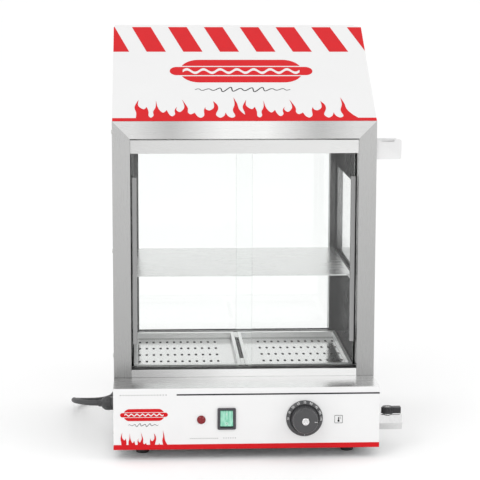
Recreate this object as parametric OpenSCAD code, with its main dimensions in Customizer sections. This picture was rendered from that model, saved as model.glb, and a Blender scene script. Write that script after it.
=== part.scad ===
// Countertop hot dog steamer: heated water base, glazed cabinet, lift-out trays and a sloping sign.
// The origin lies on the table, midway between the four feet. The front faces -Y.

/* [Body] */
// Width of the whole machine
body_w = 370; // [366:1:400]
// Depth of the base, front to back
body_d = 375; // [372:1:395]
// Height of the rubber feet
foot_h = 15; // [13:1:25]
// Height of the base housing above the feet
base_h = 86.5; // [84:0.5:100]
// Thickness of the folded sheet steel
sheet_t = 1.2; // [1:0.1:1.4]

/* [Cabinet] */
// Depth of the open deck in front of the cabinet
front_deck_d = 68; // [66:1:72]
// Width of the front frame bars
bar_w = 25; // [24:0.5:26]
// Height of the cabinet above the base
cabinet_h = 364; // [355:1:380]
// Height of the shelf above the base
shelf_rise = 141.5; // [135:0.5:150]
// Height of the side windows
window_h = 127; // [100:1:135]

/* [Doors] */
// Thickness of the glass panes
glass_t = 4; // [3:0.5:4]
// How far the two sliding doors overlap
door_overlap = 22.4; // [16:0.2:30]
// Height of the finger grips on the doors
grip_h = 238; // [200:1:250]

/* [Trays] */
// Width of one tray
tray_w = 154; // [152:1:154]
// Depth of the trays
tray_d = 230; // [228:1:232]
// Columns of slots in each tray
slot_cols = 12; // [8:1:12]
// Rows of slots in each tray
slot_rows = 5; // [3:1:5]
// Width of a slot
slot_w = 3.5; // [3:0.1:5]
// Length of a slot
slot_l = 12; // [8:1:16]

/* [Sign] */
// Height of the sloping sign above the cabinet
sign_rise = 123; // [110:1:130]
// Depth that the sloping sign leans back over
sign_run = 197.6; // [180:0.1:210]

/* [Controls] */
// Diameter of the thermostat dial
knob_d = 51; // [44:1:54]
// Width of the switch frame
switch_w = 25.6; // [24:0.1:28]
// Height of the switch frame
switch_h = 30.6; // [29:0.1:32]
// Diameter of the indicator lamp
lamp_d = 12; // [8:0.5:14]

/* [Cord] */
// Diameter of the mains lead
cord_d = 7.5; // [7:0.1:7.5]

/* [Hidden] */
$fn = 64;
eps = 0.01;

// main planes
side_x = body_w / 2;
front_y = -body_d / 2;
rear_y = body_d / 2;
panel_t = 1.5;
deck_z = foot_h + base_h;
cab_y = front_y + front_deck_d;
cab_z = deck_z + cabinet_h;
inner_x = side_x - bar_w;
bar_t = 1.5;
liner_x = inner_x - 1.5;
rear_frame_y = 160;
rear_bar_w = 35;
rear_open_x = side_x - rear_bar_w;
rear_sill_h = 6.5;
ceiling_z = cab_z - bar_w;

// side windows
window_y0 = -45;
window_y1 = 150;
window_z1 = deck_z + 271.5;
window_z0 = window_z1 - window_h;
window_lip = 5;

// door track
sill_h = 10.9;
guide_h = 5.1;
track_y0 = cab_y + 1.5;
track_y1 = cab_y + 24;
front_track_y = cab_y + 9.5;
rear_track_y = cab_y + 18.5;
groove_gap = 0.3;
guide_z1 = deck_z + sill_h - 0.2;
guide_z0 = guide_z1 - guide_h;
groove_z0 = guide_z0 + 0.8;
rail_z0 = deck_z + 318.5;
rail_z1 = deck_z + 337.5;
door_z0 = groove_z0 + 0.4;
door_z1 = rail_z0 + 10;
door_outer_x = 157.7;
grip_w = 6.5;
grip_t = 1.5;
grip_z = deck_z + 46.5;

// tank and trays
flange_z = deck_z + sheet_t;
tank_x = 152;
tank_y0 = -88;
tank_y1 = 126;
tank_z0 = 30;
channel_x = 6.7;
tray_x0 = 3;
tray_y0 = -94;
tray_lip = 4;
tray_rear_lip = 8;
tray_front_lip = 5;
tray_z0 = flange_z + 1.3;
tray_t = 1;
tray_rim_h = 10;
tray_x1 = tray_x0 + tray_w;
tray_y1 = tray_y0 + tray_d;
slot_pitch_x = 10.47;
slot_pitch_y = 44.2;
slot_first_x = 33.5;
slot_first_y = -75.8;

// shelf
shelf_t = 1.5;
shelf_z = deck_z + shelf_rise - shelf_t;
shelf_x = 155;

// sign
sign_x = side_x - 0.5;
sign_slope = atan2(sign_rise, sign_run);
sign_len = norm([sign_run, sign_rise]);
sign_z = cab_z + sign_rise;
sign_top_y = cab_y + sign_run;
print_t = 0.25;
base_line_h = 7;
stripe_h = 64;
stripe_w = 27.8;
stripe_pitch = 53.5;
stripe_lean = 21.7;
stripe_first_x = -157.5;

// places on the front panel
knob_x = 80.1;
knob_z = deck_z - 43.9;
switch_x = -28.1;
switch_z = deck_z - 43.5;
lamp_x = -63.4;
lamp_z = deck_z - 44.6;
symbol_x = 127.8;
symbol_z = deck_z - 45.9;
shaft_r = 3;
rocker_swing = 14;
rocker_r = 11.9;
rocker_pivot_y = front_y + 3.5;

// drain valve on the right side
valve_y = -137.5;
valve_z = foot_h + 24;
valve_ball_x = side_x + 18;
valve_end_x = side_x + 38;
outlet_r = 7.5;
outlet_l = 11;
bore_r = 5;
ball_r = 8.1;
stem_r = 3;
valve_flat = 20.7;
lever_w = 10;
lever_reach = 18.5;

// mains lead gland on the left side
gland_y = -87.5;
gland_z = 57;

// tongs holder on the right side
holder_y = -79.5;
holder_w = 36;
holder_d = 62;
holder_z0 = deck_z + 309;
holder_z1 = deck_z + 333;
holder_ear = 4;

// feet
foot_x = 145;
foot_y = 142.5;
recess_r = 5;
recess_h = 7;
foot_screw_r = 2;

// water level float
float_x = -60;
float_y = 100;
float_z = 36;
float_h = 14;

// heating element
element_x = 95;
element_y = 80;
element_z = 45;
element_r = 4;
element_bend = 20;
element_end_y = tank_y0 - 22;

// Route of the lead from the gland to the coil, and from the coil to the plug.
// Each point is the middle of the lead.
cord_lead_route = [
    [-208, -87.5, 57], [-219.3, -85.8, 57], [-229.4, -80.8, 56.9], [-237.4, -73, 56.3], [-242.6, -63, 55.1],
    [-244.5, -51.8, 53.2], [-244.8, -40.5, 50.5], [-245, -28, 47.2], [-245.5, -12, 43.2], [-246.1, 4, 39.2],
    [-246.7, 20, 35.2], [-247.2, 36, 31.2], [-247.8, 52, 27.2], [-248.4, 68, 23.2], [-248.9, 82, 19.7],
    [-249.2, 93, 17], [-248.4, 104, 14.1], [-245.8, 116, 11], [-239.8, 126.6, 8.2], [-230.8, 134.9, 6],
    [-220, 141.3, 4.6], [-209.3, 147.8, 4], [-200.4, 156.1, 4], [-194.4, 166.6, 4], [-191.8, 178.4, 4],
    [-189.6, 190.3, 4], [-184.1, 201.1, 4], [-175.4, 209.6, 4], [-164.6, 215.2, 4], [-152.5, 217, 4],
    [-138, 217, 4], [-122, 217, 4], [-104, 217, 4.3], [-85, 217, 4.65]
];
cord_tail_route = [
    [-85, 217, 12.25], [-73, 217, 12.2], [-60, 217.5, 11], [-48, 219, 8.5], [-37, 221, 6],
    [-28, 222, 5], [-20, 222, 5.5]
];
coil_x = -85;
coil_y = 262;
coil_z = 0.9;
coil_turn_r0 = 30;
coil_turn_r1 = 45;
tie_t = 0.8;
plug_at = [-20, 222, 5.5];
plug_tilt = 12;

// ---- helpers ----

// A block from one corner to the opposite one.
module block(low, high) translate(low) cube(high - low);

// The same shape on the left and on the right.
module both_sides() {
    children();
    mirror([1, 0, 0]) children();
}

// Local X and Y run across and up the front panel, and Z points out of it.
module on_front() translate([0, front_y, 0]) rotate([90, 0, 0]) children();

// Local Y runs up the sloping sign, and Z points out of it.
module on_sign() translate([0, cab_y, cab_z]) rotate([sign_slope, 0, 0]) children();

// A profile drawn in Y and Z, extruded along X from x0 to x1.
module along_x(x0, x1) translate([x0, 0, 0]) rotate([90, 0, 90]) linear_extrude(x1 - x0) children();

// A flat bar with round ends.
module round_bar(l, d) {
    square([l - d, d], center = true);
    for (s = [-1, 1]) translate([s * (l - d) / 2, 0]) circle(d = d);
}

// A rectangle with round corners.
module round_rect(w, h, r) {
    square([w - 2 * r, h], center = true);
    square([w, h - 2 * r], center = true);
    for (x = [-1, 1], y = [-1, 1]) translate([x * (w / 2 - r), y * (h / 2 - r)]) circle(r);
}

// Points of a smooth curve through a list of points.
function bow(a, b, c, d, t) =
    0.5 * (2 * b + (c - a) * t + (2 * a - 5 * b + 4 * c - d) * t * t + (3 * b - a - 3 * c + d) * t * t * t);
function smooth(p, steps = 5) = [
    for (i = [0 : len(p) - 2], k = [0 : steps - 1])
        bow(p[max(i - 1, 0)], p[i], p[i + 1], p[min(i + 2, len(p) - 1)], k / steps)
];

// Rings of points around a route, and the skin between them.
function unit(v) = v / norm(v);
function heading(p, i) = unit(p[min(i + 1, len(p) - 1)] - p[max(i - 1, 0)]);
function ring(p, i, r, n) =
    let (t = heading(p, i), side = unit(cross([0, 0, 1], t)), up = cross(t, side))
    [for (k = [0 : n - 1]) p[i] + r * (cos(360 * k / n) * side + sin(360 * k / n) * up)];
module tube(p, r, n = 10) {
    last = len(p) - 1;
    polyhedron(
        [for (i = [0 : last]) each ring(p, i, r, n)],
        concat(
            [[for (k = [0 : n - 1]) k]],
            [for (i = [0 : last - 1], k = [0 : n - 1])
                [i * n + k, (i + 1) * n + k, (i + 1) * n + (k + 1) % n, i * n + (k + 1) % n]],
            [[for (k = [n - 1 : -1 : 0]) last * n + k]]
        )
    );
}

// ---- pictures printed on the panels ----

// Edges of one run of flames, from tip to tip, as height over distance.
FLAME_EDGES = [
    [[-4.5, 0], [-3, 18], [-5.5, 33], [0, 49.5]],
    [[0, 49.5], [-0.5, 36], [7, 27.5], [11.5, 33]],
    [[11.5, 33], [14, 22], [14, 12], [17.5, 8], [21, 13], [20.5, 22], [24, 33], [24.5, 47.5]],
    [[24.5, 47.5], [27.5, 30], [34, 19.5], [39.5, 25.5]],
    [[39.5, 25.5], [43, 15], [47, 11], [51, 16], [50.5, 25], [53.5, 33]],
    [[53.5, 33], [53, 25.5], [58, 21], [63.5, 29], [64, 38], [61.5, 50]],
    [[61.5, 50], [66, 39], [69, 30], [69, 20], [73, 15.5], [78.5, 19.5]],
    [[78.5, 19.5], [82, 11], [87, 7.5], [91.5, 13], [91.5, 25], [93.5, 32.5]],
    [[93.5, 32.5], [94.5, 27], [99.5, 24.5], [105, 30], [106, 38], [105, 46.5]],
    [[105, 46.5], [110.5, 38], [111.5, 28], [108, 15], [113.5, 7.5], [119.5, 12], [121.5, 19.5]],
    [[121.5, 19.5], [125, 11], [130.5, 7.5], [135, 12], [132, 25], [135, 39], [134, 55]],
    [[134, 55], [138.5, 41], [141, 27], [148, 15], [158, 4], [160, 0]]
];
FLAME_PITCH = 151.6;
module flames() polygon([for (edge = FLAME_EDGES) each smooth(edge)]);

// A sausage in a bun, with a wavy line of mustard.
module hot_dog(l = 206, h = 56) {
    sausage_d = h * 0.36;
    wave = sausage_d * 0.22;
    line_w = sausage_d * 0.16;
    waves = 7;
    run = l * 0.82;
    crest = [for (k = [0 : 70]) [run * (k / 70 - 0.5), wave * sin(360 * waves * k / 70)]];
    difference() {
        round_bar(l * 0.86, h);
        square([l, h * 0.46], center = true);
    }
    difference() {
        round_bar(l, sausage_d);
        polygon(concat(
            [for (p = crest) p + [0, line_w]],
            [for (k = [len(crest) - 1 : -1 : 0]) crest[k] - [0, line_w]]
        ));
    }
}

// A slanting pen stroke that waves up and down and fades at both ends.
module flourish(l = 136, h = 12, pen = 1.6, waves = 9) {
    steps = 16 * waves;
    slant = 0.4;
    stroke = [for (k = [0 : steps])
        let (
            swell = sqrt(sin(180 * k / steps)) * (0.7 + 0.3 * cos(1080 * k / steps)),
            rise = h / 2 * swell * sin(360 * waves * k / steps)
        )
        [l * (k / steps - 0.5) + slant * rise, rise]];
    nib = [for (k = [0 : steps])
        let (ahead = stroke[min(k + 1, steps)] - stroke[max(k - 1, 0)])
        pen / 4 * (1 + sin(180 * k / steps)) * [-ahead[1], ahead[0]] / norm(ahead)];
    polygon(concat(
        [for (k = [0 : steps]) stroke[k] + nib[k]],
        [for (k = [steps : -1 : 0]) stroke[k] - nib[k]]
    ));
}

// ---- base ----

module bottom_plate() color("silver") difference() {
    block(
        [-side_x + sheet_t, front_y + panel_t, foot_h],
        [side_x - sheet_t, rear_y - sheet_t, foot_h + sheet_t]
    );
    for (x = [-1, 1], y = [-1, 1])
        translate([x * foot_x, y * foot_y, foot_h - eps]) cylinder(r = foot_screw_r + 0.1, h = 2);
    for (k = [0 : 7])
        block([-50 + 18 * k, -165, foot_h - eps], [-46 + 18 * k, -125, foot_h + sheet_t + eps]);
}

module base_housing() color("silver") difference() {
    block([-side_x, front_y + panel_t, foot_h], [side_x, rear_y, deck_z - sheet_t]);
    block([-side_x + sheet_t, front_y, 0], [side_x - sheet_t, rear_y - sheet_t, deck_z]);
    translate([-side_x - eps, gland_y, gland_z]) rotate([0, 90, 0]) cylinder(r = 8, h = 2);
    translate([side_x - 2, valve_y, valve_z]) rotate([0, 90, 0]) cylinder(r = outlet_r, h = 3);
    for (k = [-6 : 6])
        block([9 * k - 1.5, rear_y - 2, foot_h + 30], [9 * k + 1.5, rear_y + eps, foot_h + 62]);
}

module front_panel() color("white") difference() {
    block([-side_x, front_y, foot_h], [side_x, front_y + panel_t, deck_z]);
    on_front() {
        translate([knob_x, knob_z, 0]) cylinder(r = 4, h = 4, center = true);
        translate([lamp_x, lamp_z, 0]) cylinder(r = 5, h = 4, center = true);
        translate([switch_x, switch_z, 0]) cube([switch_w - 3, switch_h - 3, 4], center = true);
    }
}

module top_deck() color("gainsboro") difference() {
    block([-side_x, front_y + panel_t, deck_z - sheet_t], [side_x, rear_y, deck_z]);
    block([-tank_x - 1.5, tank_y0 - 1.5, 0], [tank_x + 1.5, tank_y1 + 1.5, cab_z]);
}

module panel_print_red() color("crimson") on_front() linear_extrude(print_t) {
    translate([-side_x, foot_h]) square([body_w, base_line_h]);
    translate([-172.9, foot_h]) scale([0.42, 0.5]) flames();
    translate([-142.6, deck_z - 37]) hot_dog(66, 17);
}

module panel_print_black() color("black") on_front() linear_extrude(print_t) {
    translate([-97.4, deck_z - 10]) square([side_x + 97.4, 2]);
    translate([-143.6, deck_z - 51.4]) flourish(42, 5, 0.7, 6);
    translate([symbol_x, symbol_z]) {
        difference() {
            round_rect(11.3, 11.3, 1);
            round_rect(10.3, 10.3, 0.6);
        }
        translate([0, -2.4]) circle(1.5);
        translate([0, 0.9]) round_bar(1.3, 1.2);
        translate([-0.65, -2]) square([1.3, 5]);
        for (k = [0 : 2]) translate([1.4, 0.2 + 1.3 * k]) square([1.5, 0.4]);
    }
}

module at_feet() for (x = [-1, 1], y = [-1, 1]) translate([x * foot_x, y * foot_y, 0]) children();

module rubber_feet() color("dimgray") at_feet() difference() {
    union() {
        cylinder(r1 = 9, r2 = 9.8, h = foot_h - 3);
        translate([0, 0, foot_h - 3]) cylinder(r = 10.4, h = 3);
    }
    translate([0, 0, -1]) cylinder(r = recess_r, h = recess_h + 1);
    cylinder(r = 4.1, h = recess_h + 3);
    cylinder(r = foot_screw_r + 0.1, h = foot_h + 1);
}

module foot_screws() color("darkgray") at_feet() {
    difference() {
        union() {
            translate([0, 0, recess_h]) cylinder(r = 4, h = 3);
            translate([0, 0, recess_h + 2]) cylinder(r = foot_screw_r, h = foot_h - recess_h + 2.5);
        }
        translate([-3, -0.4, recess_h - eps]) cube([6, 0.8, 1]);
        translate([-0.4, -3, recess_h - eps]) cube([0.8, 6, 1]);
    }
    translate([0, 0, foot_h + sheet_t]) difference() {
        cylinder(r = 4, h = 2.5, $fn = 6);
        translate([0, 0, -1]) cylinder(r = foot_screw_r, h = 5);
    }
}

// ---- water bath ----

module water_tank() color("silver") difference() {
    union() {
        block(
            [-tank_x - sheet_t, tank_y0 - sheet_t, tank_z0],
            [tank_x + sheet_t, tank_y1 + sheet_t, flange_z]
        );
        block([-157.5, -95, deck_z], [157.5, 137.5, flange_z]);
    }
    block([-tank_x, tank_y0, tank_z0 + sheet_t], [tank_x, tank_y1, cab_z]);
    translate([120, tank_y0 - 2, valve_z]) rotate([-90, 0, 0]) cylinder(r = 6, h = 3);
    for (s = [-1, 1])
        translate([s * element_x, tank_y0 - 2, element_z]) rotate([-90, 0, 0]) cylinder(r = element_r, h = 3);
}

module tray_rails() color("silver") {
    both_sides() block([153.3, -93, flange_z], [157, 135, tray_z0 + tray_rim_h - tray_t]);
    difference() {
        block([-channel_x, -93, flange_z], [channel_x, 135, tray_z0 + tray_rim_h - tray_t]);
        block([-3.2, -94, flange_z + 1.5], [3.2, 136, cab_z]);
    }
}

module heating_element() color("dimgray") {
    for (s = [-1, 1]) {
        translate([s * element_x, element_end_y, element_z]) rotate([-90, 0, 0])
            cylinder(r = element_r, h = element_y - element_bend - element_end_y);
        translate([s * (element_x - element_bend), element_y - element_bend, element_z])
            rotate([0, 0, s > 0 ? 0 : 90]) rotate_extrude(angle = 90)
                translate([element_bend, 0]) circle(element_r);
        // lock nut outside the tank wall
        translate([s * element_x, tank_y0 - sheet_t - 5, element_z]) rotate([-90, 0, 0]) difference() {
            cylinder(r = 9, h = 5, $fn = 6);
            translate([0, 0, -1]) cylinder(r = element_r, h = 7);
        }
    }
    translate([element_bend - element_x, element_y, element_z]) rotate([0, 90, 0])
        cylinder(r = element_r, h = 2 * (element_x - element_bend));
}

module float_stem() color("silver") translate([float_x, float_y, tank_z0 + sheet_t]) {
    cylinder(r = 3, h = 38);
    cylinder(r = 6, h = float_z - tank_z0 - sheet_t - 0.1);
    translate([0, 0, 36]) cylinder(r = 5, h = 2);
}

module float_ring() color("white") translate([float_x, float_y, float_z]) difference() {
    cylinder(r = 12, h = float_h);
    translate([0, 0, -1]) cylinder(r = 3.3, h = float_h + 2);
}

// ---- controls ----

module thermostat_body() color("silver") difference() {
    union() {
        block([knob_x - 22, front_y + 8, knob_z - 22], [knob_x + 22, front_y + 42, knob_z + 22]);
        block([knob_x - 16, front_y + panel_t, knob_z - 6], [knob_x + 16, front_y + 8, knob_z + 6]);
    }
    translate([knob_x, front_y - 1, knob_z]) rotate([-90, 0, 0]) cylinder(r = shaft_r + 0.05, h = 20);
}

module thermostat_shaft() color("darkgray") translate([knob_x, front_y - 16, knob_z])
    rotate([-90, 0, 0]) cylinder(r = shaft_r, h = 32);

module thermostat_bulb() color("goldenrod") {
    translate([-45, tank_y0 + 8, 52]) rotate([0, 90, 0]) cylinder(r = 3.5, h = 90);
    for (x = [-35, 30]) difference() {
        block([x, tank_y0, 46.5], [x + 5, tank_y0 + 13, 57.5]);
        translate([x - 1, tank_y0 + 8, 52]) rotate([0, 90, 0]) cylinder(r = 3.5, h = 7);
    }
}

// The dial's skirt, its grip with a scalloped edge, and the hole for the shaft.
module knob() color("dimgray") translate([knob_x, front_y - 0.5, knob_z]) rotate([90, 0, 0]) difference() {
    union() {
        rotate_extrude($fn = 128) polygon([
            [0, 0], [knob_d / 2, 0], [knob_d / 2, 1.2], [knob_d / 2 - 4, 3.6], [19, 4],
            [18.4, 18], [17.2, 20.4], [6, 20.4], [6, 19.8], [0, 19.8]
        ]);
    }
    translate([0, 0, -1]) cylinder(r = shaft_r, h = 16.5);
    for (k = [0 : 23]) rotate([0, 0, 15 * k]) translate([20.2, 0, 4.4]) cylinder(r = 2, h = 20, $fn = 24);
}

module dial_marks() color("white") translate([knob_x, front_y - 0.5, knob_z]) rotate([90, 0, 0])
    for (k = [0 : 12]) rotate([0, 0, -90 + 22.5 * k])
        translate([knob_d / 2 - 3.2, -0.3, 3.15]) rotate([0, 31, 0]) cube([2.2, 0.6, print_t]);

module knob_cap() color("gainsboro") translate([knob_x, front_y - 0.5, knob_z]) rotate([90, 0, 0])
    translate([0, 0, 19.8]) cylinder(r = 5, h = 0.9);

module switch_housing() color("darkslategray") difference() {
    union() {
        translate([switch_x, front_y, switch_z]) rotate([90, 0, 0])
            linear_extrude(2.2) round_rect(switch_w, switch_h, 2);
        block(
            [switch_x - switch_w / 2 + 1.8, front_y, switch_z - switch_h / 2 + 1.8],
            [switch_x + switch_w / 2 - 1.8, front_y + 22, switch_z + switch_h / 2 - 1.8]
        );
    }
    block(
        [switch_x - 9.1, front_y - 5, switch_z - 12.3],
        [switch_x + 9.1, front_y + 16, switch_z + 12.3]
    );
}

// The rocker's face has two flats, and its ends are round about the pivot.
module switch_rocker() color("aquamarine") translate([switch_x - 8.9, rocker_pivot_y, switch_z])
    rotate([90, 0, 90]) linear_extrude(17.8) intersection() {
        circle(rocker_r);
        polygon([[5, 13], [-4.6, 13], [-4.6, 0], [-4.6 - 13 * tan(rocker_swing), -13], [5, -13]]);
    }

module indicator_lamp() color("firebrick") translate([lamp_x, front_y, lamp_z]) rotate([90, 0, 0])
    rotate_extrude() polygon(concat(
        [[0, -14], [4.9, -14], [4.9, 0], [lamp_d / 2, 0]],
        [for (a = [0 : 15 : 90]) [lamp_d / 2 * cos(a), 1 + 2.4 * sin(a)]]
    ));

module terminal_block() color("ivory") difference() {
    block([-120, -150, foot_h + sheet_t], [-70, -130, foot_h + sheet_t + 18]);
    for (k = [0 : 4]) translate([-113 + 9 * k, -140, foot_h + 8]) cylinder(r = 2.5, h = 20);
}

// ---- mains lead ----

module cable_gland() color("dimgray") translate([0, gland_y, gland_z]) rotate([0, -90, 0]) {
    translate([0, 0, side_x - 12]) cylinder(r = 7.9, h = 12);
    translate([0, 0, side_x]) cylinder(r = 10.3, h = 6, $fn = 6);
    translate([0, 0, side_x + 6]) rotate_extrude() polygon([
        [0, 0], [10.2, 0], [10.2, 4.5], [9.6, 7.5], [8.4, 9.6], [6.6, 11.4], [5, 12.4], [4.8, 17], [0, 17]
    ]);
    // lock nut inside the wall
    translate([0, 0, side_x - sheet_t - 5]) difference() {
        cylinder(r = 11, h = 5, $fn = 6);
        translate([0, 0, -1]) cylinder(r = 7.9, h = 7);
    }
}

module cord_lead() color("dimgray") {
    tube(cord_lead_route, cord_d / 2);
    tube(cord_tail_route, cord_d / 2);
}

module cord_coil() color("dimgray") translate([coil_x, coil_y, coil_z]) rotate_extrude($fn = 96)
    translate([coil_turn_r0 - cord_d / 2, 0])
        square([coil_turn_r1 - coil_turn_r0 + cord_d, 2 * cord_d + 0.1]);

module cord_tie() color("black") translate([coil_x, coil_y, 0]) difference() {
    block([-6, 24.2, 0], [6, 50, coil_z + 2 * cord_d + 0.1 + tie_t]);
    block([-7, 25, coil_z - 0.05], [7, 49.2, coil_z + 2 * cord_d + 0.15]);
}

module plug() color("black") translate(plug_at) rotate([0, 90 - plug_tilt, 0]) {
    rotate_extrude() polygon([
        [0, 0], [4.4, 0], [6.4, 26], [9.8, 30], [12, 34], [15.4, 50], [17.2, 56], [17.8, 62], [0, 62]
    ]);
    for (s = [-1, 1]) translate([0, s * 9.5, 61]) {
        cylinder(r = 2.4, h = 17.5);
        translate([0, 0, 17.5]) cylinder(r1 = 2.4, r2 = 1.4, h = 1.5);
    }
}

// ---- drain ----

module drain_pipe() color("silver") difference() {
    union() {
        translate([120, tank_y0 - sheet_t, valve_z]) rotate([90, 0, 0])
            cylinder(r = 7, h = tank_y0 - sheet_t - valve_y - 15);
        translate([120, tank_y0 - sheet_t - 1, valve_z]) rotate([-90, 0, 0]) cylinder(r = 6, h = sheet_t + 1);
        translate([135, valve_y + 15, valve_z]) rotate([0, 0, 180]) rotate_extrude(angle = 90)
            translate([15, 0]) circle(7);
        translate([135, valve_y, valve_z]) rotate([0, 90, 0]) cylinder(r = 7, h = side_x - 135 - 3);
    }
    translate([120, tank_y0 + 1, valve_z]) rotate([90, 0, 0])
        cylinder(r = bore_r, h = tank_y0 + 1 - valve_y - 15);
    translate([135, valve_y + 15, valve_z]) rotate([0, 0, 180]) rotate_extrude(angle = 90)
        translate([15, 0]) circle(bore_r);
    translate([135, valve_y, valve_z]) rotate([0, 90, 0]) cylinder(r = bore_r, h = 60);
}

module valve_body() color("silver") translate([0, valve_y, valve_z]) difference() {
    union() {
        translate([side_x - 3, 0, 0]) rotate([0, 90, 0]) cylinder(r = 7.4, h = 5);
        translate([side_x + 1, 0, 0]) rotate([0, 90, 0]) rotate([0, 0, 30])
            cylinder(r = valve_flat / sqrt(3), h = valve_end_x - side_x - 1, $fn = 6);
        translate([valve_ball_x, 0, 0]) cylinder(r = 5.5, h = 12);
    }
    translate([side_x - 4, 0, 0]) rotate([0, 90, 0]) cylinder(r = bore_r, h = 40);
    translate([valve_ball_x, 0, 0]) sphere(ball_r + 0.1);
    translate([valve_end_x - outlet_l, 0, 0]) rotate([0, 90, 0]) cylinder(r = outlet_r, h = outlet_l + 1);
    translate([valve_ball_x, 0, 0]) cylinder(r = stem_r + 0.05, h = 20);
}

module valve_ball() color("gainsboro") translate([valve_ball_x, valve_y, valve_z]) difference() {
    union() {
        sphere(ball_r);
        cylinder(r = stem_r, h = 15);
    }
    rotate([0, 90, 0]) cylinder(r = bore_r, h = 30, center = true);
    translate([0, 0, 10]) cylinder(r = 1.2, h = 10);
}

module valve_lever() color("dimgray") translate([valve_ball_x, valve_y, valve_z + 12.3]) difference() {
    union() {
        cylinder(r1 = 9.4, r2 = 7.4, h = 9);
        for (k = [0 : 11]) rotate([0, 0, 30 * k + 15]) translate([8, 0, 0])
            cylinder(r = 1, h = 7.5, $fn = 24);
        block([0, -lever_w / 2, 0], [lever_reach, lever_w / 2, 8.6]);
    }
    translate([0, 0, -1]) cylinder(r = stem_r, h = 3.7);
    translate([0, 0, -1]) cylinder(r = 1.2, h = 20);
    translate([0, 0, 7]) cylinder(r = 3.2, h = 5);
}

module lever_screw() color("silver") translate([valve_ball_x, valve_y, valve_z]) difference() {
    union() {
        translate([0, 0, 19.3]) cylinder(r = 3, h = 2);
        translate([0, 0, 11]) cylinder(r = 1.2, h = 9);
    }
    translate([-2.2, -0.35, 20.5]) cube([4.4, 0.7, 1]);
    translate([-0.35, -2.2, 20.5]) cube([0.7, 4.4, 1]);
}

// ---- cabinet ----

// Square tubes with mitred corners.
module front_frame() color("silver") {
    both_sides() difference() {
        translate([0, cab_y + bar_w, 0]) rotate([90, 0, 0]) linear_extrude(bar_w) polygon([
            [inner_x, deck_z], [side_x, deck_z], [side_x, cab_z], [inner_x, cab_z - bar_w]
        ]);
        block([inner_x + bar_t, cab_y + bar_t, 0], [side_x - bar_t, cab_y + bar_w - bar_t, cab_z + 1]);
    }
    difference() {
        translate([0, cab_y + bar_w, 0]) rotate([90, 0, 0]) linear_extrude(bar_w) polygon([
            [-inner_x, cab_z - bar_w], [inner_x, cab_z - bar_w], [side_x, cab_z], [-side_x, cab_z]
        ]);
        block(
            [-side_x - 1, cab_y + bar_t, cab_z - bar_w + bar_t],
            [side_x + 1, cab_y + bar_w - bar_t, cab_z - bar_t]
        );
    }
}

module rear_frame() color("silver") {
    both_sides() difference() {
        block([rear_open_x, rear_frame_y, deck_z], [side_x, rear_y, cab_z]);
        block(
            [rear_open_x + bar_t, rear_frame_y + bar_t, 0],
            [side_x - bar_t, rear_y - bar_t, cab_z - bar_t]
        );
    }
    difference() {
        block([-rear_open_x, rear_frame_y, cab_z - bar_w], [rear_open_x, rear_y, cab_z]);
        block(
            [-rear_open_x - 1, rear_frame_y + bar_t, cab_z - bar_w + bar_t],
            [rear_open_x + 1, rear_y - bar_t, cab_z - bar_t]
        );
    }
    block([-rear_open_x, rear_frame_y, deck_z], [rear_open_x, rear_y, deck_z + rear_sill_h]);
}

module side_panels() color("silver") both_sides() difference() {
    block([side_x - sheet_t, cab_y + bar_w, deck_z], [side_x, rear_frame_y, cab_z]);
    block(
        [inner_x, window_y0 - window_lip, window_z0 - window_lip],
        [side_x + 1, window_y1 + window_lip, window_z1 + window_lip]
    );
}

// Inner wall with the tunnel that runs out to each window.
module side_liners() color("gray") both_sides() {
    difference() {
        union() {
            block([liner_x, cab_y + bar_w, deck_z], [liner_x + sheet_t, rear_frame_y, ceiling_z]);
            block(
                [liner_x, window_y0 - window_lip - sheet_t, window_z0 - window_lip - sheet_t],
                [side_x - sheet_t, window_y1 + window_lip + sheet_t, window_z1 + window_lip + sheet_t]
            );
        }
        block(
            [liner_x + sheet_t, window_y0 - window_lip, window_z0 - window_lip],
            [side_x, window_y1 + window_lip, window_z1 + window_lip]
        );
        block([0, window_y0, window_z0], [side_x, window_y1, window_z1]);
    }
}

module side_windows() color("lightcyan", 0.3) both_sides() block(
    [liner_x + sheet_t, window_y0 - window_lip + 0.3, window_z0 - window_lip + 0.3],
    [liner_x + sheet_t + glass_t, window_y1 + window_lip - 0.3, window_z1 + window_lip - 0.3]
);

module rear_glass() color("lightcyan", 0.3) block(
    [-rear_open_x, rear_frame_y + 10, deck_z + rear_sill_h],
    [rear_open_x, rear_frame_y + 10 + glass_t, cab_z - bar_w]
);

module ceiling_panel() color("gray") block(
    [-side_x + sheet_t, cab_y + bar_w, ceiling_z],
    [side_x - sheet_t, rear_frame_y, ceiling_z + sheet_t]
);

// The two grooves that the door panes run in.
module grooves(z0, z1) for (y = [front_track_y, rear_track_y]) block(
    [-inner_x - 1, y - glass_t / 2 - groove_gap, z0],
    [inner_x + 1, y + glass_t / 2 + groove_gap, z1]
);

module door_head_rail() color("gainsboro") difference() {
    block([-inner_x, track_y0, rail_z0], [inner_x, track_y1, rail_z1]);
    grooves(rail_z0 - 1, rail_z0 + 12);
}

// A folded sill with a channel for the guide.
module door_sill() color("silver") difference() {
    block([-inner_x, cab_y, deck_z], [inner_x, track_y1, deck_z + sill_h]);
    block([-inner_x - 1, track_y0, guide_z0], [inner_x + 1, track_y1 - sheet_t, cab_z]);
}

module sill_guide() color("black") difference() {
    block([-inner_x, track_y0, guide_z0], [inner_x, track_y1 - sheet_t, guide_z1]);
    grooves(groove_z0, guide_z1 + 1);
}

// A pane from the outer edge to just past the middle; side is -1 on the left and 1 on the right.
module door_glass(side, y) color("lightcyan", 0.3) mirror([side < 0 ? 1 : 0, 0, 0]) block(
    [-door_overlap / 2, y - glass_t / 2, door_z0],
    [door_outer_x - 1.5, y + glass_t / 2, door_z1]
);

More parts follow.
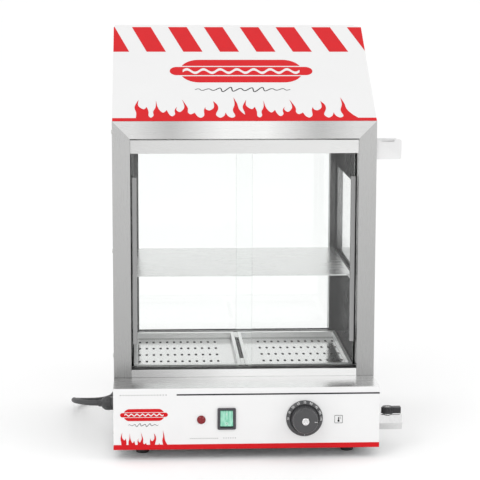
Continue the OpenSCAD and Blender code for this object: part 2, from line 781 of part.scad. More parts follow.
module door_grip(side, y) color("lightgray") mirror([side < 0 ? 1 : 0, 0, 0]) difference() {
    block(
        [door_outer_x - grip_w, y - glass_t / 2 - grip_t, grip_z],
        [door_outer_x, y + glass_t / 2 + grip_t, grip_z + grip_h]
    );
    block([0, y - glass_t / 2, 0], [door_outer_x - 1.5, y + glass_t / 2, cab_z]);
}

module left_door_glass() door_glass(-1, front_track_y);
module left_door_grip() door_grip(-1, front_track_y);
module right_door_glass() door_glass(1, rear_track_y);
module right_door_grip() door_grip(1, rear_track_y);

module shelf() color("silver")
    block([-shelf_x, cab_y + 30, shelf_z], [shelf_x, rear_frame_y - 1.5, shelf_z + shelf_t]);

module shelf_brackets() color("silver") both_sides() {
    block([liner_x - 12, -75, shelf_z - sheet_t], [liner_x, 145, shelf_z]);
    block([liner_x - sheet_t, -75, shelf_z - 12], [liner_x, 145, shelf_z - sheet_t]);
}

// ---- trays ----

module tray_plate() color("silver") difference() {
    block(
        [tray_x0 + tray_lip + tray_t, tray_y0 + tray_front_lip + tray_t, tray_z0],
        [tray_x1 - tray_lip - tray_t, tray_y1 - tray_rear_lip - tray_t, tray_z0 + tray_t]
    );
    for (c = [0 : slot_cols - 1], r = [0 : slot_rows - 1])
        translate([slot_first_x + c * slot_pitch_x, slot_first_y + r * slot_pitch_y, tray_z0 - 1])
            linear_extrude(tray_t + 2) rotate([0, 0, 90]) round_bar(slot_l, slot_w);
}

// The upright wall around a tray and the lip that it hangs by.
module tray_rim() color("silver") {
    wall_x0 = tray_x0 + tray_lip;
    wall_x1 = tray_x1 - tray_lip;
    wall_y0 = tray_y0 + tray_front_lip;
    wall_y1 = tray_y1 - tray_rear_lip;
    lip_z0 = tray_z0 + tray_rim_h - tray_t;
    lip_z1 = tray_z0 + tray_rim_h;
    difference() {
        union() {
            block([wall_x0, wall_y0, tray_z0], [wall_x1, wall_y1, lip_z1]);
            block([tray_x0, tray_y0, lip_z0], [tray_x1, tray_y1, lip_z1]);
        }
        block([wall_x0 + tray_t, wall_y0 + tray_t, 0], [wall_x1 - tray_t, wall_y1 - tray_t, cab_z]);
    }
}

module left_tray_plate() mirror([1, 0, 0]) tray_plate();
module left_tray_rim() mirror([1, 0, 0]) tray_rim();
module right_tray_plate() tray_plate();
module right_tray_rim() tray_rim();

// ---- sign and roof ----

// Inner outline of the sign box in Y and Z.
function sign_inside() = [
    [cab_y + sheet_t / sin(sign_slope), cab_z],
    [sign_top_y, sign_z - sheet_t / cos(sign_slope)],
    [sign_top_y, sign_z - sheet_t],
    [rear_y - sheet_t, sign_z - sheet_t],
    [rear_y - sheet_t, cab_z]
];

module sign_panel() color("white") along_x(-sign_x, sign_x) polygon([
    [cab_y, cab_z], [sign_top_y, sign_z], sign_inside()[1], sign_inside()[0]
]);

module roof_panel() color("white") along_x(-sign_x, sign_x) polygon([
    [sign_top_y, sign_z], [rear_y, sign_z], [rear_y, cab_z],
    [rear_y - sheet_t, cab_z], [rear_y - sheet_t, sign_z - sheet_t], [sign_top_y, sign_z - sheet_t]
]);

module sign_cheeks() color("white") both_sides()
    along_x(sign_x - sheet_t, sign_x) polygon(sign_inside());

module sign_print_red() color("crimson") on_sign() linear_extrude(print_t) {
    translate([-sign_x, 0]) square([2 * sign_x, base_line_h]);
    for (k = [0, 1]) translate([FLAME_PITCH * k - 147.9, 0]) flames();
    translate([0, sign_len * 0.515]) hot_dog();
    intersection() {
        translate([-sign_x, sign_len - stripe_h]) square([2 * sign_x, stripe_h]);
        for (k = [-1 : 6]) translate([stripe_first_x + k * stripe_pitch, sign_len - stripe_h]) polygon([
            [stripe_lean, 0], [stripe_lean + stripe_w, 0], [stripe_w, stripe_h], [0, stripe_h]
        ]);
    }
}

module sign_print_black() color("black") on_sign() linear_extrude(print_t)
    translate([0, sign_len * 0.32]) flourish();

// ---- fittings outside ----

// An open-topped pocket with raised ears at both ends of its front and rear walls.
module tongs_holder() color("gainsboro") difference() {
    translate([side_x, holder_y + holder_d / 2, 0]) rotate([90, 0, 0]) linear_extrude(holder_d)
        difference() {
            translate([0, holder_z0]) square([holder_w, holder_z1 - holder_z0 + holder_ear]);
            translate([6, holder_z1]) square([holder_w - 12, holder_ear + 1]);
        }
    block(
        [side_x + sheet_t, holder_y - holder_d / 2 + sheet_t, holder_z0 + sheet_t],
        [side_x + holder_w - sheet_t, holder_y + holder_d / 2 - sheet_t, cab_z]
    );
    block(
        [side_x + sheet_t, holder_y - holder_d / 2 + 6, holder_z1],
        [side_x + holder_w + 1, holder_y + holder_d / 2 - 6, cab_z]
    );
}

module case_screws() color("silver") both_sides() {
    for (z = [deck_z + 30, deck_z + 180, deck_z + 348], y = [cab_y + 12.5, rear_y - 12.5])
        translate([side_x, y, z]) rotate([0, 90, 0]) cylinder(r1 = 3, r2 = 2.4, h = 1.2);
    for (y = [front_y + 20, rear_y - 20])
        translate([side_x, y, foot_h + 20]) rotate([0, 90, 0]) cylinder(r1 = 3, r2 = 2.4, h = 1.2);
    for (x = [40, 150])
        translate([x, rear_y, foot_h + 12]) rotate([-90, 0, 0]) cylinder(r1 = 3, r2 = 2.4, h = 1.2);
}

bottom_plate();
base_housing();
front_panel();
top_deck();
panel_print_red();
panel_print_black();
rubber_feet();
foot_screws();
water_tank();
tray_rails();
heating_element();
float_stem();
float_ring();
thermostat_body();
thermostat_shaft();
thermostat_bulb();
knob();
dial_marks();
knob_cap();
switch_housing();
switch_rocker();
indicator_lamp();
terminal_block();
cable_gland();
cord_lead();
cord_coil();
cord_tie();
plug();
drain_pipe();
valve_body();
valve_ball();
valve_lever();
lever_screw();
front_frame();
rear_frame();
side_panels();
side_liners();
side_windows();
rear_glass();
ceiling_panel();
door_head_rail();
door_sill();
sill_guide();
left_door_glass();
left_door_grip();
right_door_glass();
right_door_grip();
shelf();
shelf_brackets();
left_tray_plate();
left_tray_rim();
right_tray_plate();
right_tray_rim();
sign_panel();
sign_print_red();
sign_print_black();
sign_cheeks();
roof_panel();
tongs_holder();
case_screws();
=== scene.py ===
"""Looks of the countertop hot dog steamer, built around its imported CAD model.

Pieces are drawn in millimetres and turned into metres when their mesh is made.
The front faces -Y, the floor is z = 0, and places come from the boxes of the CAD nodes.
"""

import math

import bmesh
import bpy
from mathutils import Matrix, Vector


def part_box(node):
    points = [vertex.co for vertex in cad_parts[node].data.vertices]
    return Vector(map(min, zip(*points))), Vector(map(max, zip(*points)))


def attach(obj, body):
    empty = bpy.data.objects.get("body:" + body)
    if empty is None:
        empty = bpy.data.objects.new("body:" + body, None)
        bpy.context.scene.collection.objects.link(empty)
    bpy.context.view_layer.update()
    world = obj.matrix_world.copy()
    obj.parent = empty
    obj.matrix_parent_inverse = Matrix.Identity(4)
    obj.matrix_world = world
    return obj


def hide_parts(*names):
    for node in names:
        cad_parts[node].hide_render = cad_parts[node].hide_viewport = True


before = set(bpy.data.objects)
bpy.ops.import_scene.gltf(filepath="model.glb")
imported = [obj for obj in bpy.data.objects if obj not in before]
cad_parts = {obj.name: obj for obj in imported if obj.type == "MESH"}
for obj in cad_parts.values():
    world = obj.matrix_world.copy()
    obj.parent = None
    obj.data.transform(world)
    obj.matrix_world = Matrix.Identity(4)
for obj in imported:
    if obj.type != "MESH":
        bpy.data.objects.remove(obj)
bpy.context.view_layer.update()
scene = bpy.context.scene
scene.view_settings.view_transform = "Standard"

MM = 0.001
TAU = 2 * math.pi
WELD_WITHIN = 1e-4  # millimetres
RIM_STEPS = 3  # faces across a rounded rim


# ---- camera ----

CAMERA_AT = (-0.1377, -2.5456, 0.6745)
CAMERA_YAW = 0.0540
CAMERA_PITCH = 0.1537
CAMERA_ROLL = 0.0026
CAMERA_LENS = 131.25
SENSOR_WIDTH = 36
CLIP_END = 400


def make_camera():
    """The camera at the photograph's viewing angle."""
    data = bpy.data.cameras.new("camera")
    data.lens = CAMERA_LENS
    data.sensor_width = SENSOR_WIDTH
    data.clip_end = CLIP_END
    forward = Vector((
        math.sin(CAMERA_YAW) * math.cos(CAMERA_PITCH),
        math.cos(CAMERA_YAW) * math.cos(CAMERA_PITCH),
        -math.sin(CAMERA_PITCH),
    ))
    side = Vector((math.cos(CAMERA_YAW), -math.sin(CAMERA_YAW), 0))
    up = side.cross(forward)
    right = side * math.cos(CAMERA_ROLL) + up * math.sin(CAMERA_ROLL)
    camera = bpy.data.objects.new("camera", data)
    turn = Matrix((right, right.cross(forward), -forward)).transposed()
    camera.matrix_world = Matrix.Translation(CAMERA_AT) @ turn.to_4x4()
    scene.collection.objects.link(camera)
    scene.camera = camera


make_camera()


# ---- places and directions ----

def corners(node):
    """Lowest and highest corner of a CAD node, in millimetres."""
    low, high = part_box(node)
    return low / MM, high / MM


def middle(node):
    """Centre of a CAD node's box, in millimetres."""
    low, high = corners(node)
    return (low + high) / 2


def facing(x, y, z, at):
    """A placement whose local axes point along x, y and z."""
    return Matrix.Translation(at) @ Matrix((x, y, z)).transposed().to_4x4()


def to_front(at):
    """A placement with x to the right, y up and z out of the front."""
    return facing((1, 0, 0), (0, 0, 1), (0, -1, 0), at)


def to_back(at):
    """The same for the back, seen from behind."""
    return facing((-1, 0, 0), (0, 0, 1), (0, 1, 0), at)


def to_right(at):
    """The same for the right side, seen from the right."""
    return facing((0, 1, 0), (0, 0, 1), (1, 0, 0), at)


def to_left(at):
    """The same for the left side, seen from the left."""
    return facing((0, -1, 0), (0, 0, 1), (-1, 0, 0), at)


# ---- outlines ----

def arc(centre, radius, start, stop, steps):
    """Points on an arc, with angles in degrees."""
    angles = [math.radians(start + (stop - start) * k / steps) for k in range(steps + 1)]
    return [(centre[0] + radius * math.cos(a), centre[1] + radius * math.sin(a)) for a in angles]


def round_rect(w, h, r, steps):
    """A rectangle with round corners about the origin, counterclockwise."""
    x, y = w / 2 - r, h / 2 - r
    spots = [(x, y, 0), (-x, y, 90), (-x, -y, 180), (x, -y, 270)]
    return [p for cx, cy, a in spots for p in arc((cx, cy), r, a, a + 90, steps)]


def inset(outline, by):
    """A counterclockwise outline moved inwards."""
    moved = []
    for k, p in enumerate(outline):
        before = Vector(p) - Vector(outline[k - 1])
        after = Vector(outline[(k + 1) % len(outline)]) - Vector(p)
        a, b = before.normalized(), after.normalized()
        normal = Vector((-a.y - b.y, a.x + b.x))
        normal = normal / max(normal.length_squared / 2, 0.2)
        moved.append((p[0] + by * normal.x, p[1] + by * normal.y))
    return moved


def smooth(points, steps):
    """Points of a smooth curve through given points."""
    p = [Vector(q) for q in points]
    curve = []
    for i in range(len(p) - 1):
        a, b, c, d = p[max(i - 1, 0)], p[i], p[i + 1], p[min(i + 2, len(p) - 1)]
        for k in range(steps):
            t = k / steps
            curve.append(
                (2 * b + (c - a) * t + (2 * a - 5 * b + 4 * c - d) * t * t
                 + (3 * b - a - 3 * c + d) * t * t * t) / 2
            )
    return curve + [p[-1]]


# ---- meshes ----

class Shape:
    """A mesh made of closed solids, drawn in millimetres."""

    def __init__(self, place=None):
        self.bm = bmesh.new()
        self.place = place or Matrix()

    def put(self, place):
        """Draws what follows from another place."""
        self.place = place
        return self

    def skin(self, rings, loop=False):
        """Closed solid over rings of points; a ring of one point is a tip."""
        made = [[self.bm.verts.new(self.place @ Vector(p)) for p in ring] for ring in rings]
        pairs = list(zip(made, made[1:]))
        if loop:
            pairs.append((made[-1], made[0]))
        for a, b in pairs:
            n = max(len(a), len(b))
            for k in range(n if n > 1 else 0):
                j = (k + 1) % n
                if len(a) == 1:
                    self.bm.faces.new((a[0], b[k], b[j]))
                elif len(b) == 1:
                    self.bm.faces.new((a[j], a[k], b[0]))
                else:
                    self.bm.faces.new((a[k], a[j], b[j], b[k]))
        if not loop:
            for ring in (made[0], made[-1]):
                if len(ring) > 2:
                    self.bm.faces.new(ring)
        return self

    def revolve(self, profile, steps=48, form=None, loop=False):
        """Turns (radius, height) points about local Z. form(angle, radius, height) scales a radius."""
        rings = []
        for r, z in profile:
            if r == 0:
                rings.append([(0, 0, z)])
                continue
            ring = []
            for k in range(steps):
                a = TAU * k / steps
                size = r * (form(a, r, z) if form else 1)
                ring.append((size * math.cos(a), size * math.sin(a), z))
            rings.append(ring)
        return self.skin(rings, loop)

    def prism(self, outline, z0, z1, soft):
        """An outline pulled along local Z, with its rims rounded by soft."""
        rings = []
        for z, side in ((z0, 1), (z1, -1)):
            rim = []
            for k in range(RIM_STEPS + 1):
                a = math.pi / 2 * k / RIM_STEPS
                inner = inset(outline, soft * (1 - math.sin(a))) if soft else outline
                rim.append([(x, y, z + side * soft * (1 - math.cos(a))) for x, y in inner])
            rings += rim if side > 0 else rim[::-1]
        return self.skin(rings)

    def box(self, low, high, soft):
        """A block from one corner to the other, with its edges rounded by soft."""
        w, h = high[0] - low[0], high[1] - low[1]
        cx, cy = (high[0] + low[0]) / 2, (high[1] + low[1]) / 2
        outline = [(cx + x, cy + y) for x, y in round_rect(w, h, soft * 1.05, RIM_STEPS)]
        return self.prism(outline, low[2], high[2], soft)

    def tube(self, path, radius, steps):
        """A round bar along a path."""
        points = [Vector(p) for p in path]
        rings, normal = [], None
        for i, p in enumerate(points):
            ahead = points[min(i + 1, len(points) - 1)] - points[max(i - 1, 0)]
            ahead.normalize()
            if normal is None:
                normal = ahead.orthogonal().normalized()
            normal = (normal - ahead * normal.dot(ahead)).normalized()
            other = ahead.cross(normal)
            angles = [TAU * k / steps for k in range(steps)]
            rings.append([p + radius * (math.cos(a) * normal + math.sin(a) * other)
                          for a in angles])
        return self.skin(rings)

    def make(self, name, finish, body="housing", stands_for=(), sharp=32):
        """Turns the shape into a piece that rides on a body."""
        bmesh.ops.remove_doubles(self.bm, verts=self.bm.verts, dist=WELD_WITHIN)
        bmesh.ops.recalc_face_normals(self.bm, faces=self.bm.faces)
        bmesh.ops.scale(self.bm, vec=(MM, MM, MM), verts=self.bm.verts)
        mesh = bpy.data.meshes.new(name)
        self.bm.to_mesh(mesh)
        self.bm.free()
        mesh.shade_smooth()
        mesh.set_sharp_from_angle(angle=math.radians(sharp))
        return place_piece(bpy.data.objects.new(name, mesh), finish, body, stands_for)


def place_piece(piece, finish, body="housing", stands_for=()):
    """Links a piece, gives it its finish and ties it to the frame."""
    scene.collection.objects.link(piece)
    piece.data.materials.clear()
    piece.data.materials.append(FINISH[finish])
    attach(piece, body)
    if stands_for:
        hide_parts(*stands_for)
    return piece


def repaint(material, *pieces):
    """Puts a material on pieces in place of the finish of their slot."""
    for piece in pieces:
        piece.data.materials[0] = material


# ---- finishes ----

class Finish:
    """A Principled material with noise that varies its colour, gloss and relief."""

    def __init__(self, name, **sockets):
        self.material = bpy.data.materials.new(name)
        self.material.use_nodes = True
        self.tree = self.material.node_tree
        self.shader = self.tree.nodes["Principled BSDF"]
        self.coordinates = self.tree.nodes.new("ShaderNodeTexCoord").outputs["Object"]
        for socket, value in sockets.items():
            self.shader.inputs[socket.replace("_", " ")].default_value = value

    def node(self, kind, *inputs, **settings):
        """A node with its inputs set or linked in order, and its settings."""
        node = self.tree.nodes.new(kind)
        for key, value in settings.items():
            setattr(node, key, value)
        for socket, value in zip(node.inputs, inputs):
            self.join(value, socket)
        return node.outputs[0]

    def join(self, value, socket):
        """Links a socket, or sets it to a plain value; None leaves it as it is."""
        if isinstance(value, bpy.types.NodeSocket):
            self.tree.links.new(value, socket)
        elif value is not None:
            socket.default_value = value

    def maths(self, operation, *inputs):
        """The result of a Math node."""
        return self.node("ShaderNodeMath", *inputs, operation=operation)

    def noise(self, scale, stretch=(1, 1, 1), detail=2.0):
        """Noise from 0 to 1, with scale in waves a metre and stretch for each axis."""
        spot = self.node("ShaderNodeVectorMath", self.coordinates, stretch, operation="MULTIPLY")
        node = self.tree.nodes.new("ShaderNodeTexNoise")
        self.join(spot, node.inputs["Vector"])
        node.inputs["Scale"].default_value = scale
        node.inputs["Detail"].default_value = detail
        return node.outputs["Fac"]

    def spread(self, value, low, high, start=0.3, stop=0.7):
        """value from start to stop, taken to low to high."""
        return self.node("ShaderNodeMapRange", value, start, stop, low, high)

    def blend(self, share, low, high):
        """A colour between two, which are colours or sockets."""
        node = self.tree.nodes.new("ShaderNodeMix")
        node.data_type = "RGBA"
        self.join(share, node.inputs["Factor"])
        for socket, colour in ((node.inputs[6], low), (node.inputs[7], high)):
            self.join(colour if isinstance(colour, bpy.types.NodeSocket) else (*colour, 1), socket)
        return node.outputs[2]

    def colour(self, share, low, high):
        """The base colour, from low to high by share."""
        self.join(self.blend(share, low, high), self.shader.inputs["Base Color"])

    def gloss(self, value):
        """The roughness, as a number or a socket."""
        self.join(value, self.shader.inputs["Roughness"])

    def axis(self, name):
        """A coordinate in metres, X, Y or Z, in the shared frame."""
        split = self.tree.nodes.new("ShaderNodeSeparateXYZ")
        self.join(self.coordinates, split.inputs[0])
        return split.outputs[name]

    def relief(self, height, depth):
        """Bump from height, with depth in millimetres."""
        node = self.tree.nodes.new("ShaderNodeBump")
        node.inputs["Distance"].default_value = depth * MM
        self.join(height, node.inputs["Height"])
        self.join(node.outputs[0], self.shader.inputs["Normal"])


def tinted(colour, by):
    """A colour made brighter or darker by a factor."""
    return tuple(min(c * by, 1) for c in colour)


GRAIN_FINE = 1500  # waves a metre across the brushing
GRAIN_LONG = 22  # and along it
ALONG = {
    "x": (GRAIN_LONG / GRAIN_FINE, 1, 1),
    "y": (1, GRAIN_LONG / GRAIN_FINE, 1),
    "z": (1, 1, GRAIN_LONG / GRAIN_FINE),
}


def steel(name, colour, rough, grain, depth=0.004, contrast=0.08, tint=1.0, painted_light=None):
    """Brushed sheet steel with faint smears. An optional function gives how much of the colour is left
    by place, as painted reflection and painted shade.
    """
    f = Finish(name, Metallic=1.0, Specular_Tint=(tint, tint, tint, 1))
    streaks = brushing(f, grain)
    smears = f.noise(9, (1, 1, 1.6), 3)
    share = f.maths("MULTIPLY_ADD", smears, 0.5, f.maths("MULTIPLY", streaks, 0.5))
    sheet = f.blend(share, tinted(colour, 1 - contrast), tinted(colour, 1 + contrast))
    # Painted reflection and painted shade: darkens the colour by place.
    if painted_light:
        sheet = f.blend(painted_light(f), (0, 0, 0), sheet)
    f.join(sheet, f.shader.inputs["Base Color"])
    f.gloss(f.maths("ADD", f.spread(streaks, rough * 0.85, rough * 1.12),
                    f.spread(smears, -0.03, 0.04)))
    f.relief(streaks, depth)
    return f.material


def either(f, share, there, elsewhere):
    """One value where share is 1 and another where it is 0."""
    return f.maths("ADD", f.maths("MULTIPLY", there, share),
                   f.maths("MULTIPLY", elsewhere, f.maths("SUBTRACT", 1.0, share)))


def on_lintel(f):
    """1 on the front frame's top bar and 0 on its uprights, parted at the mitres."""
    low, high = corners("front_frame")
    bar = (high.z - corners("ceiling_panel")[0].z) * MM
    above = f.maths("SUBTRACT", f.axis("Z"), high.z * MM - bar)
    beside = f.maths("SUBTRACT", f.maths("ABSOLUTE", f.axis("X")), high.x * MM - bar)
    return f.maths("GREATER_THAN", above, beside)


def brushing(f, grain):
    """Long fine streaks. The mitred frame's run along each of its three bars."""
    if grain != "mitred":
        return f.noise(GRAIN_FINE, ALONG[grain], 3)
    across, upright = f.noise(GRAIN_FINE, ALONG["x"], 3), f.noise(GRAIN_FINE, ALONG["z"], 3)
    return either(f, on_lintel(f), across, upright)


def frame_painted_reflection(f):
    """Painted reflection: the top bar is brightest in the middle, then at its ends; the uprights dull
    downwards.
    """
    beside = f.maths("ABSOLUTE", f.axis("X"))
    dip = f.spread(beside, 1.0, 0.60, 0.03, 0.10)
    bar = f.maths("ADD", dip, f.spread(beside, 0.0, 0.20, 0.11, 0.155))
    upright = f.spread(f.axis("Z"), 0.43, 0.61, 0.12, 0.48)
    return either(f, on_lintel(f), bar, upright)


def sill_painted_reflection(f):
    """Painted reflection: the sill is duller towards its left end."""
    return f.spread(f.axis("X"), 0.68, 1.0, -0.15, -0.03)


def rail_painted_reflection(f):
    """Painted reflection: the rail is a little duller towards its left end."""
    return f.spread(f.axis("X"), 0.84, 1.0, -0.15, 0.05)


def deck_painted_reflection(f):
    """Painted reflection: the deck is duller towards its left edge."""
    return f.spread(f.axis("X"), 0.62, 1.0, -0.16, 0.0)


def rear_painted_shade(f):
    """Painted shade: the rear frame is dark where it looks into the cabinet."""
    high = corners("rear_frame")[1] * MM
    beside = f.maths("GREATER_THAN", f.maths("ABSOLUTE", f.axis("X")), high.x - 0.001)
    behind = f.maths("GREATER_THAN", f.axis("Y"), high.y - 0.001)
    return f.spread(f.maths("MAXIMUM", beside, behind), 0.2, 1.0, 0, 1)


def rim_painted_shade(f):
    """Painted shade: darker where the upright wall of a tray meets the plate."""
    foot = corners("left_tray_rim")[0].z * MM
    return f.spread(f.axis("Z"), 0.25, 1.0, foot, foot + 0.003)


def holder_painted_shade(f):
    """Painted shade: the front sheet is duller than the inside of the pocket."""
    front = corners("tongs_holder")[0].y * MM
    return f.spread(f.axis("Y"), 0.84, 1.0, front + 0.0005, front + 0.002)


def liner_painted_light(f):
    """Painted reflection bright in the window reveals, painted shade dark on the walls that face the
    cabinet.
    """
    reveal = f.maths("GREATER_THAN", f.maths("ABSOLUTE", f.axis("X")), 0.16)
    return f.spread(reveal, 0.03, 1.0, 0, 1)


def enamel(name, colour):
    """Smooth white powder coat with a faint orange peel."""
    f = Finish(name, Coat_Weight=0.25, Coat_Roughness=0.15, Specular_IOR_Level=0.45)
    dirt = f.noise(14, detail=4)
    peel = f.noise(700, detail=2)
    f.colour(dirt, tinted(colour, 0.975), tinted(colour, 1.015))
    f.gloss(f.spread(dirt, 0.30, 0.40))
    f.relief(peel, 0.02)
    return f.material


def ink(name, colour, rough=0.35):
    """Screen-printed colour with slightly uneven cover."""
    f = Finish(name, Specular_IOR_Level=0.12)
    cover = f.noise(60, detail=5)
    f.colour(cover, tinted(colour, 0.93), tinted(colour, 1.07))
    f.gloss(f.spread(cover, rough * 0.85, rough * 1.15))
    f.relief(f.noise(900, detail=2), 0.01)
    return f.material


def plastic(name, colour, rough=0.4, grain=0.02, fine=1400, **sockets):
    """Moulded plastic with a spark-eroded grain and a little dust."""
    f = Finish(name, **sockets)
    dust = f.noise(45, detail=5)
    f.colour(dust, tinted(colour, 0.88), tinted(colour, 1.12))
    f.gloss(f.spread(dust, rough * 0.85, rough * 1.15))
    f.relief(f.noise(fine, detail=3), grain)
    return f.material


def plated(name, colour, rough):
    """Chrome or nickel plating with faint polishing marks."""
    f = Finish(name, Metallic=1.0)
    marks = f.noise(260, detail=4)
    f.colour(marks, tinted(colour, 0.93), tinted(colour, 1.05))
    f.gloss(f.spread(marks, rough * 0.7, rough * 1.5))
    f.relief(marks, 0.01)
    return f.material


def clear_glass(name, edged=False):
    """Float glass with faint wiping marks, which lets light through; edged has darker rims."""
    f = Finish(name, Base_Color=(0.98, 0.99, 0.985, 1), Transmission_Weight=1.0, IOR=1.45)
    f.gloss(f.spread(f.noise(18, (1, 1, 3), 4), 0.0, 0.012, 0.45, 0.8))
    path = f.tree.nodes.new("ShaderNodeLightPath")
    mix = f.tree.nodes.new("ShaderNodeMixShader")
    if edged:
        normal = f.tree.nodes.new("ShaderNodeSeparateXYZ")
        f.join(f.tree.nodes.new("ShaderNodeNewGeometry").outputs["Normal"], normal.inputs[0])
        edge = f.maths("LESS_THAN", f.maths("ABSOLUTE", normal.outputs["Y"]), 0.8)
        f.colour(edge, (0.98, 0.99, 0.985), (0.10, 0.12, 0.11))
    open_air = f.tree.nodes.new("ShaderNodeBsdfTransparent")
    open_air.inputs[0].default_value = (0.97, 0.985, 0.975, 1)
    f.join(path.outputs["Is Shadow Ray"], mix.inputs[0])
    f.join(f.shader.outputs[0], mix.inputs[1])
    f.join(open_air.outputs[0], mix.inputs[2])
    f.join(mix.outputs[0], f.tree.nodes["Material Output"].inputs[0])
    return f.material


def galvanised(name, colour):
    """Zinc-plated sheet with a soft crystal pattern."""
    f = Finish(name, Metallic=1.0)
    flakes = f.tree.nodes.new("ShaderNodeTexVoronoi")
    f.join(f.coordinates, flakes.inputs["Vector"])
    flakes.inputs["Scale"].default_value = 160
    split = f.node("ShaderNodeSeparateColor", flakes.outputs["Color"])
    f.colour(split, tinted(colour, 0.88), tinted(colour, 1.08))
    f.gloss(f.spread(split, 0.34, 0.5, 0, 1))
    f.relief(f.noise(800), 0.02)
    return f.material


def lit_rocker(name):
    """Green translucent plastic with upright flutes inside and a lamp behind."""
    f = Finish(name, Coat_Weight=0.6, Coat_Roughness=0.05, Emission_Strength=0.12)
    flutes = f.noise(420, (1, 1, 0.12), 2)
    mint = f.blend(f.spread(flutes, 0, 1, 0.35, 0.65), (0.15, 0.47, 0.32), (0.34, 0.67, 0.52))
    f.join(mint, f.shader.inputs["Base Color"])
    f.join(mint, f.shader.inputs["Emission Color"])
    f.gloss(f.spread(flutes, 0.12, 0.22))
    f.relief(flutes, 0.05)
    return f.material


BRUSHED = (0.60, 0.60, 0.595)
FINISH = {
    "brushed_steel": steel("brushed_steel", BRUSHED, 0.30, "x"),
    # Near-black inner steel with a dim edge tint: painted shade inside the cabinet.
    "inner_steel": steel("inner_steel", (0.07, 0.07, 0.073), 0.24, "z", depth=0.001, tint=0.12),
    "polished_steel": steel("polished_steel", (0.93, 0.93, 0.925), 0.05, "x", depth=0.0005,
                            contrast=0.032),
    "tray_steel": steel("tray_steel", (0.74, 0.74, 0.735), 0.16, "x", depth=0.001),
    "galvanised_steel": galvanised("galvanised_steel", (0.55, 0.56, 0.57)),
    "white_enamel": enamel("white_enamel", (0.74, 0.74, 0.74)),
    "red_print": ink("red_print", (0.61, 0.010, 0.015)),
    "black_print": ink("black_print", (0.028, 0.028, 0.03)),
    "foot_rubber": plastic("foot_rubber", (0.035, 0.035, 0.037), 0.65, 0.05),
    "fastener_steel": plated("fastener_steel", (0.55, 0.55, 0.54), 0.22),
    "element_steel": plated("element_steel", (0.22, 0.20, 0.19), 0.38),
    "float_plastic": plastic("float_plastic", (0.78, 0.77, 0.72), 0.45),
    "float_steel": plated("float_steel", (0.58, 0.58, 0.57), 0.16),
    "bulb_copper": plated("bulb_copper", (0.72, 0.40, 0.26), 0.25),
    "knob_plastic": plastic("knob_plastic", (0.058, 0.058, 0.061), 0.34, 0.01, 900),
    "dial_print": ink("dial_print", (0.72, 0.72, 0.72), 0.5),
    "chrome": plated("chrome", (0.74, 0.74, 0.74), 0.07),
    "switch_plastic": plastic("switch_plastic", (0.052, 0.048, 0.058), 0.32),
    "rocker_green": lit_rocker("rocker_green"),
    "lamp_red": plastic("lamp_red", (0.21, 0.002, 0.008), 0.10, 0.005, 300, Specular_IOR_Level=0.3,
                        Coat_Weight=0.4),
    "terminal_plastic": plastic("terminal_plastic", (0.70, 0.68, 0.60), 0.5),
    "gland_plastic": plastic("gland_plastic", (0.045, 0.045, 0.047), 0.42),
    "cord_rubber": plastic("cord_rubber", (0.055, 0.055, 0.057), 0.5, 0.04, 1100),
    "plug_plastic": plastic("plug_plastic", (0.035, 0.035, 0.037), 0.45),
    "drain_steel": plated("drain_steel", (0.52, 0.52, 0.51), 0.24),
    "lever_plastic": plastic("lever_plastic", (0.018, 0.018, 0.02), 0.35),
    "clear_glass": clear_glass("clear_glass"),
    "guide_plastic": plastic("guide_plastic", (0.02, 0.02, 0.021), 0.45),
}


# ---- mains lead ----

CORD_D = 7.5
LEAD_ROUTE = [
    (-208, -87.5, 57), (-219.3, -85.8, 57), (-229.4, -80.8, 56.9), (-237.4, -73, 56.3),
    (-242.6, -63, 55.1), (-244.5, -51.8, 53.2), (-244.8, -40.5, 50.5), (-245, -28, 47.2),
    (-245.5, -12, 43.2), (-246.1, 4, 39.2), (-246.7, 20, 35.2), (-247.2, 36, 31.2),
    (-247.8, 52, 27.2), (-248.4, 68, 23.2), (-248.9, 82, 19.7),
    (-249.2, 93, 17), (-248.4, 104, 14.1), (-245.8, 116, 11), (-239.8, 126.6, 8.2), (-230.8, 134.9, 6),
    (-220, 141.3, 4.6), (-209.3, 147.8, 4), (-200.4, 156.1, 4), (-194.4, 166.6, 4), (-191.8, 178.4, 4),
    (-189.6, 190.3, 4), (-184.1, 201.1, 4), (-175.4, 209.6, 4), (-164.6, 215.2, 4), (-152.5, 217, 4),
    (-138, 217, 4), (-122, 217, 4), (-104, 217, 4.3), (-85, 217, 4.65),
]
TAIL_ROUTE = [
    (-85, 217, 12.25), (-73, 217, 12.2), (-60, 217.5, 11), (-48, 219, 8.5), (-37, 221, 6),
    (-28, 222, 5), (-20, 222, 5.5),
]
COIL_AT = (-85, 262)
COIL_R = (30, 45)
LAYER_Z = (4.65, 12.25)
TURN_STEPS = 36
SMOOTH_STEPS = 4


def coil_route():
    """Two turns inwards on the floor, a quarter turn up, and back out on top of them."""
    inner, outer = COIL_R
    below, above = LAYER_Z
    legs = [  # turns, radius at both ends, height at both ends
        (2, outer, inner, below, below),
        (0.25, inner, inner, below, above),
        (1.75, inner, outer, above, above),
    ]
    points, turned = [], -0.25
    for turns, r0, r1, z0, z1 in legs:
        steps = round(turns * TURN_STEPS)
        for k in range(steps):
            t = k / steps
            a = TAU * (turned + turns * t)
            r = r0 + (r1 - r0) * t
            z = z0 + (z1 - z0) * t * t * (3 - 2 * t)
            points.append((COIL_AT[0] + r * math.cos(a), COIL_AT[1] + r * math.sin(a), z))
        turned += turns
    return points


